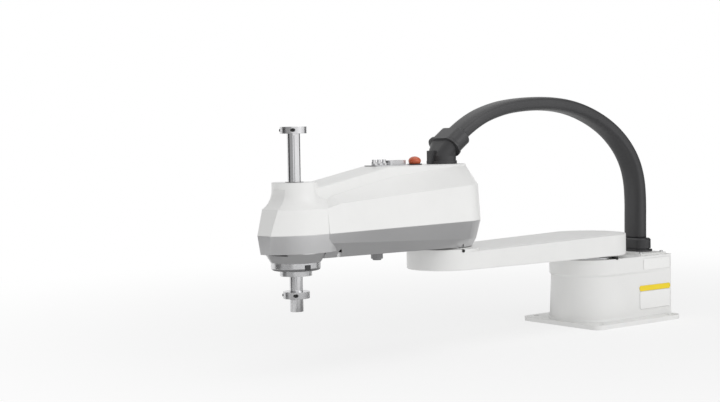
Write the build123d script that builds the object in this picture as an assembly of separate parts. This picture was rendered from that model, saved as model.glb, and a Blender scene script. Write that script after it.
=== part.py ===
from build123d import *
import os
from math import acos, cos, degrees, pi, radians, sin

# A four-axis SCARA robot, in millimetres.
# Origin: the shoulder axis at the mounting plane. +X runs along the inner arm at rest, +Z is up.

# Reach and rest pose
arm_1_length = 350.0
arm_2_length = 350.0
rest_elbow_angle = 10.3
running_gap = 0.3
seat_gap = 0.1

# Base flange
flange_front = 75.0
flange_rear = 155.0
flange_width = 190.0
flange_thickness = 8.0
flange_corner_radius = 15.0
mounting_hole_diameter = 11.0
mounting_hole_front = 50.0
mounting_hole_rear = 130.0
mounting_hole_spacing = 160.0

# Base housing
base_height = 119.0
base_half_width = 68.0
base_rear = 158.0
base_corner_radius = 3.0
base_waist_radius = 65.0
base_band_height = 31.0
base_step_height = 4.0
base_wall = 7.0
base_roof = 12.0
base_floor = 8.0
base_foot_fillet = 4.0

# Shoulder reducer and motor
shoulder_reducer_radius = 50.0
shoulder_reducer_depth = 24.0
shoulder_rim_radius = 56.0
shoulder_rim_height = 2.6
shoulder_output_radius = 46.0
shoulder_hub_radius = 20.0
shoulder_hub_depth = 16.0
shoulder_motor_width = 64.0
shoulder_motor_floor_gap = 15.0

# Inner arm
arm_1_gap = 6.3
arm_1_shoulder_radius = 71.4
arm_1_elbow_radius = 61.2
arm_1_shoulder_depth = 37.6
arm_1_elbow_depth = 29.5
arm_1_pad_height = 5.2
arm_1_edge_fillet = 2.0
arm_1_wall = 8.0
arm_1_rib = 5.0
arm_1_pocket_depth = 18.0
arm_1_pocket_start = 84.0
arm_1_pocket_end = 272.0
arm_1_rib_count = 3
stop_pin_radius = 2.6
stop_pin_length = 12.0
stop_pin_stand = 1.0

# Elbow reducer
elbow_gap = 2.7
elbow_reducer_radius = 44.0
elbow_reducer_depth = 22.0
elbow_rim_radius = 50.0
elbow_rim_height = 1.2
elbow_output_radius = 42.0
elbow_hub_radius = 16.0
elbow_hub_depth = 12.0

# Outer arm casting
casting_depth = 43.3
casting_wall = 5.0
casting_floor = 12.0
seam_half_width_elbow = 63.7
seam_half_width_nose = 51.2
rim_half_width_elbow = 56.0
rim_half_width_nose = 49.6
rim_height_elbow = 13.3
rim_height_nose = 30.0
belly_half_width_elbow = 49.0
belly_half_width_nose = 38.0
belly_rise = 7.0
nose_back = 20.0
nose_reach_seam = 64.5
nose_flat_seam = 13.5
nose_reach_rim = 61.6
nose_flat_rim = 10.4
nose_rim_rise = 15.8
nose_step_radius = 46.8
nose_ring_radius = 37.5
nose_ring_height = 1.3
cover_screw_radius = 3.5
cover_screw_head = 8.0
cover_screw_pocket = 0.5
cover_screw_inset = 9.0
cover_screw_rear = 10.0
cover_screw_front = 50.0

# Outer arm cover
cover_wall = 3.0
cover_lip_gap = 0.4
cover_lip_height = 3.0
fold_half_width_elbow = 60.0
fold_half_width_shoulder = 54.6
fold_half_width_neck = 50.2
fold_half_width_nose = 48.0
fold_height_elbow = 59.0
fold_height_shoulder = 50.5
fold_height_neck = 43.5
fold_height_nose = 37.5
crest_half_width = 30.0
crest_height_elbow = 90.0
crest_height_shoulder = 77.0
crest_height_neck = 54.0
crest_height_nose = 40.0
crest_rear_reach = 35.0
crest_corner_radius = 12.0
crest_turn = 10.0
cover_shoulder_station = 170.0
cover_neck_station = 48.0
boss_radius = 33.8
boss_height = 76.0
boss_wall_height = 10.0
boss_flat_half_width = 12.0
boss_top_thickness = 3.0
nose_reach_top = 51.3
nose_flat_top = 16.4
nose_top_height = 37.5
spine_height = 94.0
spine_fall_start = 168.0
spine_end_height = 64.0
spine_edge_fillet = 3.0

# Tool shaft, its nuts and its stops
shaft_diameter = 20.0
shaft_bore_diameter = 12.0
shaft_bottom = 90.0
shaft_top = 364.0
shaft_groove_radius = 1.3
shaft_groove_count = 4
shaft_groove_margin = 3.0
shaft_relief_depth = 0.5
shaft_relief_width = 2.0
shaft_clearance = 0.06
stop_collar_diameter = 40.0
stop_collar_height = 10.0
lower_collar_bottom = 110.0
collar_slit = 1.6
collar_screw_diameter = 5.0
collar_screw_offset = 14.5
collar_bore_clearance = 0.04
spline_nut_radius = 16.0
spline_nut_length = 36.0
ball_nut_radius = 17.0
ball_nut_length = 42.0
bearing_clearance = 0.05
bearing_section = 5.0
bearing_width = 9.0
nut_cap_radius = 24.0
nut_cap_height = 8.3
nut_housing_radius = 37.0
nut_housing_height = 12.0
nut_housing_fillet = 4.0
seal_radius = 14.0
seal_height = 3.4
sensor_angle = 73.0
sensor_width = 9.5
sensor_height = 7.5
sensor_depth = 6.0

# Belts, pulleys and motors of the outer arm
belt_pitch = 5.0
belt_thickness = 2.0
belt_width = 9.0
belt_gap = 0.3
nut_pulley_teeth = 30
motor_pulley_teeth = 18
pulley_flange_height = 1.2
pulley_flange_overhang = 2.5
spline_belt_level = 8.0
ball_belt_level = 24.0
motor_plate_level = 38.0
motor_plate_thickness = 8.0
motor_plate_half_width = 40.0
motor_plate_post_radius = 5.0
motor_plate_post_inset = 6.0
lift_belt_centres = 190.0
ball_motor_width = 56.0
ball_motor_height = 50.0
roll_belt_centres = 88.0
spline_motor_width = 40.0
spline_motor_height = 46.0
motor_shaft_radius = 5.0
motor_corner_radius = 5.0
elbow_motor_width = 60.0
elbow_motor_height = 66.0
elbow_motor_flange_radius = 36.0
elbow_motor_flange_height = 6.0

# Fittings on the cover
lamp_station = 71.0
lamp_radius = 10.5
lamp_height = 14.0
lamp_base_radius = 12.0
lamp_base_height = 2.0
connector_offset = 12.0
connector_plate_front = 166.0
connector_plate_rear = 84.0
connector_plate_half_width = 13.0
connector_plate_thickness = 1.5
air_fitting_stations = (134.0, 146.0, 158.0)
air_fitting_radius = 4.6
air_fitting_height = 6.0
air_fitting_hex_height = 3.0
signal_socket_station = 106.0
signal_socket_length = 39.0
signal_socket_width = 15.0
signal_socket_height = 7.0

# Brake release button under the outer arm
button_station = 168.0
bezel_radius = 9.5
bezel_bore_radius = 7.3
bezel_height = 11.5
button_radius = 6.9
button_length = 8.0
button_stand = 2.5
button_travel = 2.0

# Cable duct and its fittings
duct_width = 44.0
duct_thickness = 24.0
duct_base_x = -135.5
duct_base_exit = 28.0
duct_plate_thickness = 3.0
duct_plate_front = 86.0
duct_plate_rear = 156.0
duct_plate_half_width = 56.0
duct_plate_screw_inset = 6.0
fitting_ring_width = 70.0
fitting_ring_thickness = 38.0
fitting_ring_height = 4.0
fitting_neck_width = 58.0
fitting_neck_thickness = 30.0
fitting_neck_height = 2.0
fitting_nut_width = 64.0
fitting_nut_thickness = 34.0
fitting_end_chamfer = 2.5
swivel_radius = 25.5
swivel_height = 5.0
swivel_hub_radius = 14.0
swivel_hub_depth = 5.0
elbow_neck_width = 50.0
elbow_neck_thickness = 44.0
elbow_neck_height = 13.0
elbow_tilt = 36.0
elbow_ring_x = 5.0
elbow_ring_z = 27.5
elbow_nut_length = 34.0
elbow_lug_length = 12.0
elbow_lug_width = 10.0
elbow_lug_height = 22.0
duct_first_run = 41.0
duct_last_run = 33.0
duct_points = (
    (222.0, 392.5),
    (160.0, 400.0),
    (98.0, 401.0),
    (42.0, 394.5),
    (-12.0, 378.0),
    (-60.0, 354.0),
    (-97.0, 323.5),
    (-121.5, 290.0),
    (-133.5, 254.0),
    (-136.3, 214.0),
)

# Rear panel and its sockets
panel_thickness = 3.0
panel_inset = 5.0
panel_screw_radius = 3.0
panel_screw_head = 2.5
panel_screw_inset = 6.0
power_socket_radius = 15.0
power_socket_height = 68.0
power_socket_offset = 26.0
signal_port_radius = 12.0
signal_port_length = 14.0
rear_fitting_height = 30.0
rear_fitting_spacing = 18.0
rear_fitting_radius = 5.0
rear_fitting_length = 10.0

# Levels and axes that follow from the sizes above
arm_1_bottom = base_height + arm_1_gap
arm_1_pad_top = arm_1_bottom + arm_1_elbow_depth + arm_1_pad_height
arm_2_bottom = arm_1_pad_top + elbow_gap
seam = arm_2_bottom + casting_depth
casting_floor_top = arm_2_bottom + nose_ring_height + casting_floor
cover_top = seam + spine_height
boss_top = seam + boss_height
shaft_radius = shaft_diameter / 2
elbow_axis = Pos(arm_1_length, 0, 0)
arm_2_frame = elbow_axis * Rot(0, 0, rest_elbow_angle)
tool_axis = Pos(arm_2_length, 0, 0)
nut_pulley_radius = nut_pulley_teeth * belt_pitch / (2 * pi)
motor_pulley_radius = motor_pulley_teeth * belt_pitch / (2 * pi)
ball_motor_station = arm_2_length - lift_belt_centres
spline_motor_station = arm_2_length - roll_belt_centres


def disc(radius, low, high):
    return Pos(0, 0, (low + high) / 2) * Cylinder(radius, high - low)


def ring(outer, inner, low, high):
    return disc(outer, low, high) - disc(inner, low - 1, high + 1)


def block(x_low, x_high, y_low, y_high, z_low, z_high):
    centre = Pos((x_low + x_high) / 2, (y_low + y_high) / 2, (z_low + z_high) / 2)
    return centre * Box(x_high - x_low, y_high - y_low, z_high - z_low)


def slot_face(width, thickness, plane):
    return plane * SlotOverall(width, thickness, rotation=90)


def slot_prism(width, thickness, plane, length):
    return extrude(slot_face(width, thickness, plane), length, dir=plane.z_dir)


def hull_of_discs(discs, low):
    edges = [Pos(x, y) * Edge.make_circle(radius) for x, y, radius in discs]
    return Pos(0, 0, low) * make_hull(edges)


def save(name, *solids):
    shape = solids[0] if len(solids) == 1 else Compound(children=list(solids))
    export_step(shape, f"parts/{name}.step")


# Base

def base_outline(front_radius, level):
    corner_y = base_half_width - base_corner_radius
    corner_x = base_corner_radius - base_rear
    discs = [(0, 0, front_radius), (corner_x, corner_y, base_corner_radius)]
    discs.append((corner_x, -corner_y, base_corner_radius))
    return hull_of_discs(discs, level)


def mounting_hole_places():
    half = mounting_hole_spacing / 2
    return [(x, y) for x in (mounting_hole_front, -mounting_hole_rear) for y in (half, -half)]


def base_flange():
    length = flange_front + flange_rear
    centre = Pos((flange_front - flange_rear) / 2, 0)
    plate = extrude(centre * RectangleRounded(length, flange_width, flange_corner_radius), flange_thickness)
    for x, y in mounting_hole_places():
        plate -= Pos(x, y, 0) * disc(mounting_hole_diameter / 2, -1, flange_thickness + 1)
    return plate


def base_housing():
    band_low = base_height - base_band_height
    waist = base_outline(base_waist_radius, band_low)
    foot_top = base_outline(base_half_width, flange_thickness + base_foot_fillet)
    foot = loft([base_outline(base_half_width + base_foot_fillet / 2, flange_thickness), foot_top], ruled=True)
    skirt = loft([foot_top, waist], ruled=True)
    step = loft([waist, base_outline(base_half_width, band_low + base_step_height)], ruled=True)
    band = extrude(base_outline(base_half_width, band_low + base_step_height), base_band_height - base_step_height)
    body = foot + skirt + step + band
    body -= base_cavity()
    body += base_flange()
    body -= disc(shoulder_reducer_radius + seat_gap, base_floor, base_height + 1)
    return body - shoulder_stop_place() * stop_pin_shape(seat_gap)


def base_cavity():
    inner_y = base_half_width - base_wall
    roof = base_height - base_roof
    box = block(-base_rear - 1, -base_waist_radius / 2, -inner_y, inner_y, base_floor, roof)
    return box + disc(base_waist_radius - base_wall, base_floor, roof)


def shoulder_stop_place():
    reach = base_half_width + stop_pin_stand
    return Pos(-6.5, reach, base_height + stop_pin_radius / 2) * Rot(90, 0, 0)


def stop_pin_shape(gap=0.0):
    return disc(stop_pin_radius + gap, 0, stop_pin_length + gap)


def shoulder_reducer():
    body = disc(shoulder_reducer_radius, base_height - shoulder_reducer_depth, base_height)
    body += disc(shoulder_rim_radius, base_height, base_height + shoulder_rim_height)
    top = base_height + shoulder_rim_height + 1
    return body - disc(shoulder_hub_radius + bearing_clearance, top - shoulder_hub_depth - 2, top)


def shoulder_output():
    plate_low = base_height + shoulder_rim_height + running_gap
    plate = disc(shoulder_output_radius, plate_low, arm_1_bottom)
    hub_low = base_height + shoulder_rim_height - shoulder_hub_depth + running_gap
    return plate + disc(shoulder_hub_radius, hub_low, plate_low)


def motor_can(width, low, height):
    return extrude(Pos(0, 0, low) * RectangleRounded(width, width, motor_corner_radius), height)


def shoulder_motor():
    low = base_floor + shoulder_motor_floor_gap
    return motor_can(shoulder_motor_width, low, base_height - shoulder_reducer_depth - low)


def rear_panel():
    half = base_half_width - panel_inset
    low = flange_thickness + panel_inset
    high = base_height - panel_inset
    plate = block(-base_rear - panel_thickness, -base_rear, -half, half, low, high)
    return fillet(plate.edges().filter_by(Axis.X), 4)


def panel_screw_places():
    half = base_half_width - panel_inset - panel_screw_inset
    low = flange_thickness + panel_inset + panel_screw_inset
    high = base_height - panel_inset - panel_screw_inset
    return [(y, z) for y in (-half, half) for z in (low, high)]


def rearward(y, z):
    """A place on the rear panel's outer face whose +Z runs out of the base."""
    return Pos(-base_rear - panel_thickness, y, z) * Rot(0, -90, 0)


def panel_screws():
    return [rearward(y, z) * screw_head(panel_screw_radius, panel_screw_head) for y, z in panel_screw_places()]


def screw_head(radius, height):
    head = disc(radius, 0, height)
    socket = Pos(0, 0, height / 2) * extrude(RegularPolygon(radius * 0.5, 6), height)
    return head - socket


def round_socket(radius, length):
    shell = ring(radius, radius - 2, 0, length)
    return shell + disc(radius + 2, 0, 2.5) + disc(radius - 2, 0, length / 2)


def rear_sockets():
    power = rearward(power_socket_offset, power_socket_height) * round_socket(power_socket_radius, signal_port_length)
    signal = rearward(-power_socket_offset, power_socket_height) * round_socket(signal_port_radius, signal_port_length)
    return [power, signal]


def push_in_fitting(radius, height, hex_height):
    body = extrude(RegularPolygon(radius, 6), hex_height) + disc(radius * 0.86, hex_height, hex_height + height * 0.4)
    collar = disc(radius * 0.7, hex_height, hex_height + height)
    return (body + collar) - disc(radius * 0.42, hex_height, hex_height + height + 1)


def rear_air_fittings():
    fitting = push_in_fitting(rear_fitting_radius, rear_fitting_length, 3.0)
    places = [rearward(i * rear_fitting_spacing, rear_fitting_height) for i in (-1, 0, 1)]
    return [place * fitting for place in places]


# Inner arm

def arm_1_outline(inset, level):
    discs = [(0, 0, arm_1_shoulder_radius - inset), (arm_1_length, 0, arm_1_elbow_radius - inset)]
    return hull_of_discs(discs, level)


def arm_1_casting():
    high = arm_1_bottom + arm_1_shoulder_depth
    body = extrude(arm_1_outline(0, arm_1_bottom), arm_1_shoulder_depth)
    body -= arm_1_top_cut(high)
    pad = elbow_axis * disc(arm_1_elbow_radius, arm_1_bottom + arm_1_elbow_depth / 2, arm_1_pad_top)
    body += pad
    body = fillet(body.edges().group_by(Axis.Z)[0], arm_1_edge_fillet)
    body -= arm_1_pockets()
    body -= elbow_axis * disc(elbow_reducer_radius + seat_gap, arm_1_pad_top - elbow_reducer_depth, arm_1_pad_top + 1)
    return body - elbow_stop_place() * stop_pin_shape(seat_gap)


def arm_1_top_cut(high):
    """The wedge above the arm's sloping top face."""
    low = arm_1_bottom + arm_1_elbow_depth
    reach = 2 * arm_1_length
    slope = (high - low) / arm_1_length
    corners = [(0, high), (reach, high - slope * reach), (reach, high + reach), (-reach, high + reach)]
    corners.append((-reach, high + slope * reach))
    wedge = extrude(Plane.XZ * make_face(Polyline(*corners, close=True)), reach, both=True)
    return wedge


def arm_1_pockets():
    """Open bays under the arm, with cross ribs between them."""
    well = extrude(arm_1_outline(arm_1_wall, arm_1_bottom - 1), arm_1_pocket_depth + 1)
    span = arm_1_pocket_end - arm_1_pocket_start
    bay = (span - arm_1_rib_count * arm_1_rib) / (arm_1_rib_count + 1)
    bays = Part()
    for i in range(arm_1_rib_count + 1):
        start = arm_1_pocket_start + i * (bay + arm_1_rib)
        for side in (-1, 1):
            y_low, y_high = sorted((side * arm_1_rib / 2, side * arm_1_shoulder_radius))
            bays += block(start, start + bay, y_low, y_high, arm_1_bottom - 2, arm_1_bottom + arm_1_pocket_depth)
    return well & bays


def elbow_stop_place():
    reach = arm_1_elbow_radius + stop_pin_stand
    angle = 82.0
    centre_z = arm_1_pad_top - stop_pin_radius / 2 - stop_pin_stand
    return elbow_axis * Rot(0, 0, angle) * Pos(reach, 0, centre_z) * Rot(0, -90, 0)


def elbow_reducer():
    body = disc(elbow_reducer_radius, arm_1_pad_top - elbow_reducer_depth, arm_1_pad_top)
    body += disc(elbow_rim_radius, arm_1_pad_top, arm_1_pad_top + elbow_rim_height)
    top = arm_1_pad_top + elbow_rim_height + 1
    body -= disc(elbow_hub_radius + bearing_clearance, top - elbow_hub_depth - 2, top)
    return elbow_axis * body


def elbow_output():
    plate_low = arm_1_pad_top + elbow_rim_height + running_gap
    plate = disc(elbow_output_radius, plate_low, arm_2_bottom)
    hub_low = arm_1_pad_top + elbow_rim_height - elbow_hub_depth + running_gap
    return elbow_axis * (plate + disc(elbow_hub_radius, hub_low, plate_low))


# Outer arm, drawn along +X from the elbow axis and turned to its rest angle on saving

def section_face(station, half_profile):
    """A closed cross-section at one station, mirrored from its half profile of (y, z) points."""
    right = [(station, y, z) for y, z in half_profile]
    left = [(station, -y, z) for y, z in reversed(half_profile)]
    return make_face(Polyline(*right, *left, close=True))


def rear_turn(half_profile, low, high):
    """A half profile of (radius, z) points turned through the rear half circle at the elbow."""
    points = [(0, low)] + list(half_profile) + [(0, high)]
    face = Plane.XZ * make_face(Polyline(*points, close=True))
    return Rot(0, 0, 90) * revolve(face, Axis.Z, revolution_arc=180)


def casting_profile(inset, share):
    """Half section of the lower casting; share runs from 0 at the elbow to 1 at the tool axis."""
    def between(start, end):
        return start + (end - start) * share
    belly_z = arm_2_bottom + belly_rise * share
    rim_z = arm_2_bottom + between(rim_height_elbow, rim_height_nose)
    belly = between(belly_half_width_elbow, belly_half_width_nose) - inset
    rim = between(rim_half_width_elbow, rim_half_width_nose) - inset
    top = between(seam_half_width_elbow, seam_half_width_nose) - inset
    return [(belly, belly_z), (rim, rim_z), (top, seam)]


def nose_outline(level, reach, flat_half, half):
    """The nose in plan: a front flat, two arched flanks and a round back inside the arm."""
    front = Line((reach, -flat_half), (reach, flat_half))
    flanks = [TangentArc((-nose_back, side * half), (reach, side * flat_half), tangent=(1, 0)) for side in (-1, 1)]
    back = ThreePointArc((-nose_back, -half), (-nose_back - half, 0), (-nose_back, half))
    return Pos(0, 0, level) * make_face([front, *flanks, back])


def casting_nose(inset, low):
    """The wall of the casting's nose from a level up to the seam."""
    rim_half = rim_half_width_nose
    seam_face = nose_outline(seam, nose_reach_seam - inset, nose_flat_seam - inset / 2, seam_half_width_nose - inset)
    low_face = nose_outline(low, nose_reach_rim - inset, nose_flat_rim - inset / 2, rim_half - inset)
    return tool_axis * loft([low_face, seam_face], ruled=True)


def nose_cone():
    low = arm_2_bottom + nose_ring_height
    high = arm_2_bottom + nose_rim_rise
    face = Plane.XZ * make_face(Polyline((0, low), (nose_ring_radius, low), (nose_step_radius, high), (0, high), close=True))
    return tool_axis * revolve(face, Axis.Z)


def casting_shell():
    rear_profile = casting_profile(0, 0)
    end_share = 1 - nose_back / arm_2_length
    sections = [section_face(share * arm_2_length, casting_profile(0, share)) for share in (0, end_share)]
    trunk = loft(sections, ruled=True)
    rear = rear_turn(rear_profile, arm_2_bottom, seam)
    return trunk + rear + casting_nose(0, arm_2_bottom + nose_rim_rise) + nose_cone()


def casting_cavity():
    top = seam + 1
    rear_profile = [(rim_half_width_elbow - casting_wall, casting_floor_top), (seam_half_width_elbow - casting_wall, top)]
    nose_profile = [(nose_step_radius - casting_wall, casting_floor_top), (seam_half_width_nose - casting_wall, top)]
    end = arm_2_length - nose_back
    trunk = loft([section_face(0, rear_profile), section_face(end, nose_profile)], ruled=True)
    rear = rear_turn(rear_profile, casting_floor_top, top)
    nose = extrude(nose_outline(casting_floor_top, nose_reach_rim - casting_wall, nose_flat_rim - casting_wall / 2,
                                nose_step_radius - casting_wall), top - casting_floor_top)
    return trunk + rear + tool_axis * nose


def cover_screw_places():
    share = cover_screw_front / arm_2_length
    rear_y = rim_half_width_elbow - cover_screw_inset
    front_y = rim_half_width_nose + (rim_half_width_elbow - rim_half_width_nose) * share - cover_screw_inset
    front_x = arm_2_length - cover_screw_front
    places = [(cover_screw_rear, rear_y, arm_2_bottom + rim_height_elbow - cover_screw_head / 2)]
    places.append((front_x, front_y, arm_2_bottom + rim_height_nose - cover_screw_head))
    return [(x, side * y, z) for x, y, z in places for side in (-1, 1)]


def arm_2_casting():
    body = casting_shell() - casting_cavity()
    for x, y, z in cover_screw_places():
        body += Pos(x, y, 0) * disc(cover_screw_radius + casting_wall, z + cover_screw_head, seam) & casting_shell()
        body -= Pos(x, y, 0) * disc(cover_screw_radius + cover_screw_pocket, arm_2_bottom - 1, z + cover_screw_head)
    bore = spline_nut_radius + bearing_section + 2 * bearing_clearance
    body -= tool_axis * disc(bore, arm_2_bottom, seam)
    return body - Pos(button_station, 0, 0) * disc(button_radius + 1, arm_2_bottom - 1, button_seat())


def cover_screws():
    screw = screw_head(cover_screw_radius, cover_screw_head)
    return [Pos(x, y, z + cover_screw_head) * Rot(180, 0, 0) * screw for x, y, z in cover_screw_places()]


def cover_sections(inset):
    """Half sections of the cover from the elbow to the nose, drawn in by a wall."""
    neck_station = arm_2_length - cover_neck_station
    rows = [
        (0, fold_half_width_elbow, fold_height_elbow, crest_height_elbow),
        (cover_shoulder_station, fold_half_width_shoulder, fold_height_shoulder, crest_height_shoulder),
        (neck_station, fold_half_width_neck, fold_height_neck, crest_height_neck),
        (arm_2_length - nose_back, fold_half_width_nose, fold_height_nose, crest_height_nose),
    ]
    sections = []
    for station, fold_half, fold_rise, crest_rise in rows:
        foot = seam_half_width_elbow + (seam_half_width_nose - seam_half_width_elbow) * station / arm_2_length
        profile = [(foot - inset, seam), (fold_half - inset, seam + fold_rise - inset / 2)]
        profile.append((crest_half_width - inset / 2, seam + crest_rise - inset))
        sections.append(section_face(station, profile))
    return sections


def half_round_outline(radius, level):
    """The rear half of a circle, cut at the angles where the crest's corners turn."""
    turns = (90, 90 + crest_turn, 180 - crest_turn, 180 + crest_turn, 270 - crest_turn, 270)
    arcs = [CenterArc((0, 0), radius, start, end - start) for start, end in zip(turns, turns[1:])]
    return Pos(0, 0, level) * make_face([*arcs, Line((0, -radius), (0, radius))])


def crest_outline(inset, level):
    """The rear end of the crest in plan, with two round corners."""
    half = crest_half_width - inset
    reach = crest_rear_reach - inset
    corner = crest_corner_radius - inset
    edges = [
        Line((0, half), (corner - reach, half)),
        CenterArc((corner - reach, half - corner), corner, 90, 90),
        Line((-reach, half - corner), (-reach, corner - half)),
        CenterArc((corner - reach, corner - half), corner, 180, 90),
        Line((corner - reach, -half), (0, -half)),
        Line((0, -half), (0, half)),
    ]
    return Pos(0, 0, level) * make_face(edges)


def cover_dome(inset):
    """The rear of the cover: a drafted half-round wall under a bevel that rises to the crest."""
    fold_level = seam + fold_height_elbow - inset / 2
    crest_level = seam + crest_height_elbow - inset
    fold_radius = fold_half_width_elbow - inset
    wall = rear_turn([(seam_half_width_elbow - inset, seam), (fold_radius, fold_level)], seam, fold_level)
    bevel = loft([half_round_outline(fold_radius, fold_level), crest_outline(inset / 2, crest_level)], ruled=True)
    return wall + bevel


def cover_nose(inset):
    level = seam + nose_top_height - inset
    seam_face = nose_outline(seam, nose_reach_seam - inset, nose_flat_seam - inset / 2, seam_half_width_nose - inset)
    top_face = nose_outline(level, nose_reach_top - inset, nose_flat_top - inset / 2, fold_half_width_nose - inset)
    return tool_axis * loft([seam_face, top_face], ruled=True)


def flare_outline(level, share, inset):
    """The hollow flare in plan; share runs from 1 at the nose to 0 at the round boss."""
    radius = boss_radius - inset
    flat = boss_flat_half_width - inset / 2
    nose_half = fold_half_width_nose - inset
    nose_reach = nose_reach_top - inset
    nose_flat = nose_flat_top - inset / 2
    flank = TangentArc((-nose_back, nose_half), (nose_reach, nose_flat), tangent=(1, 0))
    round_flank = JernArc((0, radius), (1, 0), radius, -degrees(acos(flat / radius)))

    def between(round_point, nose_point):
        return (Vector(*round_point) * (1 - share)) + (Vector(*nose_point) * share)

    start = between((-nose_back, (radius ** 2 - nose_back ** 2) ** 0.5), (-nose_back, nose_half))
    middle = between(round_flank @ 0.3, flank @ 0.5)
    end = between(((radius ** 2 - flat ** 2) ** 0.5, flat), (nose_reach, nose_flat))
    flanks = []
    for side in (1, -1):
        points = [(point.X, side * point.Y) for point in (start, middle, end)]
        flanks.append(ThreePointArc(*points))
    front = Line((end.X, -end.Y), (end.X, end.Y))
    back = ThreePointArc((start.X, -start.Y), (start.X - start.Y, 0), (start.X, start.Y))
    return Pos(0, 0, level) * make_face([front, *flanks, back])


def nose_flare(inset):
    """The wall that sweeps in from the nose to the boss along a hollow arc."""
    low = seam + nose_top_height - inset
    high = boss_top - boss_wall_height - inset
    rise = high - low
    ledge = fold_half_width_nose - boss_radius
    radius = (ledge ** 2 + rise ** 2) / (2 * ledge)
    levels = [low + rise * step for step in (0, 0.3, 0.6, 1)]
    shares = [(radius - (radius ** 2 - (high - level) ** 2) ** 0.5) / ledge for level in levels]
    flare = loft([flare_outline(level, share, inset) for level, share in zip(levels, shares)])
    boss = disc(boss_radius - inset, high, boss_top - (boss_top_thickness if inset else 0))
    return tool_axis * (flare + boss)


def cover_spine(inset):
    """The raised bar along the cover's crest, level over the elbow and falling to the boss."""
    top = cover_top - inset
    end_level = seam + spine_end_height - inset
    reach = crest_rear_reach
    half = crest_half_width - inset
    outline = [(-reach, seam), (arm_2_length, seam), (arm_2_length, end_level), (spine_fall_start, top), (-reach, top)]
    side = extrude(Plane.XZ * make_face(Polyline(*outline, close=True)), half, both=True)
    rear = extrude(crest_outline(inset, seam), spine_height)
    bar = (side & block(0, arm_2_length, -half, half, seam, cover_top)) + (side & rear)
    if inset == 0:
        upper = bar.edges().filter_by(lambda edge: edge.center().Z > end_level and edge.center().X < arm_2_length - 1)
        bar = fillet(upper.filter_by(lambda edge: abs(edge.center().Y) > 1 or edge.center().X < 1), spine_edge_fillet)
    return bar


def arm_2_cover():
    parts = []
    for inset in (0, cover_wall):
        trunk = loft(cover_sections(inset), ruled=True)
        parts.append(trunk + cover_dome(inset) + cover_nose(inset) + nose_flare(inset) + cover_spine(inset))
    shell = parts[0] - parts[1]
    shell -= tool_axis * disc(seal_radius + seat_gap, boss_top - boss_top_thickness - 1, boss_top + 1)
    return shell - disc(swivel_hub_radius + running_gap, cover_top - cover_wall - 1, cover_top + 1)


def shaft_seal():
    bore = shaft_radius + running_gap
    low = boss_top - boss_top_thickness
    return tool_axis * ring(seal_radius, bore, low, low + seal_height)


# Tool shaft and the nuts that turn and lift it

def tool_shaft():
    shaft = disc(shaft_radius, shaft_bottom, shaft_top)
    groove_low = lower_collar_bottom + stop_collar_height + shaft_groove_margin
    groove_high = shaft_top - stop_collar_height - shaft_groove_margin
    for i in range(shaft_groove_count):
        place = Rot(0, 0, 45 + i * 360 / shaft_groove_count) * Pos(shaft_radius + shaft_groove_radius / 3, 0, 0)
        shaft -= place * disc(shaft_groove_radius, groove_low, groove_high)
    relief = shaft_radius - shaft_relief_depth
    shaft -= ring(shaft_radius + 1, relief, lower_collar_bottom - shaft_relief_width, lower_collar_bottom)
    shaft -= disc(shaft_bore_diameter / 2, shaft_bottom - 1, shaft_top + 1)
    return tool_axis * shaft


def collar_shape(low):
    high = low + stop_collar_height
    collar = ring(stop_collar_diameter / 2, shaft_radius + collar_bore_clearance, low, high)
    slit = block(0, stop_collar_diameter, -collar_slit / 2, collar_slit / 2, low - 1, high + 1)
    hole = collar_screw_place(low) * disc(collar_screw_diameter / 2 + seat_gap, -stop_collar_diameter, 1)
    return tool_axis * (collar - slit - hole)


def collar_screw_place(low):
    reach = (stop_collar_diameter ** 2 / 4 - collar_screw_offset ** 2) ** 0.5 - 1
    return Pos(collar_screw_offset, -reach, low + stop_collar_height / 2) * Rot(90, 0, 0)


def collar_screw(low):
    length = 2 * ((stop_collar_diameter ** 2 / 4 - collar_screw_offset ** 2) ** 0.5) - 3
    shank = disc(collar_screw_diameter / 2, -length, 0)
    socket = Pos(0, 0, -2) * extrude(RegularPolygon(collar_screw_diameter * 0.3, 6), 4)
    return tool_axis * collar_screw_place(low) * (shank - socket)


def pulley(radius, low):
    """A belt pulley with two flanges, standing on its lower flange."""
    rim = radius + pulley_flange_overhang
    body = disc(radius, low, low + belt_width + 2 * pulley_flange_height)
    body += disc(rim, low, low + pulley_flange_height)
    top = low + belt_width + pulley_flange_height
    return body + disc(rim, top, top + pulley_flange_height)


def nut_housing_low():
    return arm_2_bottom + nose_ring_height - nut_housing_height


def spline_pulley_low():
    return casting_floor_top + spline_belt_level


def ball_pulley_low():
    return casting_floor_top + ball_belt_level


def spline_nut():
    low = nut_housing_low() - nut_cap_height + 1
    pulley_low = spline_pulley_low()
    body = disc(spline_nut_radius, low, pulley_low) + pulley(nut_pulley_radius, pulley_low)
    bore = disc(shaft_radius + shaft_clearance, low - 1, pulley_low + 2 * belt_width)
    return tool_axis * (body - bore)


def ball_nut():
    pulley_low = ball_pulley_low()
    low = pulley_low + belt_width + 2 * pulley_flange_height
    body = disc(ball_nut_radius, low, low + ball_nut_length) + pulley(nut_pulley_radius, pulley_low)
    bore = disc(shaft_radius + shaft_clearance, pulley_low - 1, low + ball_nut_length + 1)
    return tool_axis * (body - bore)


def nut_bearing(nut_radius, low):
    outer = nut_radius + bearing_section
    return tool_axis * ring(outer, nut_radius + bearing_clearance, low, low + bearing_width)


def nut_housing():
    low = nut_housing_low()
    high = low + nut_housing_height
    body = disc(nut_housing_radius, low, high)
    body = fillet(body.edges().group_by(Axis.Z)[0], nut_housing_fillet)
    body -= disc(spline_nut_radius + bearing_section + 2 * bearing_clearance, low + 2, high + 1)
    body -= disc(spline_nut_radius + 1, low - 1, high + 1)
    return tool_axis * body - sensor_block(seat_gap)


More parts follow.
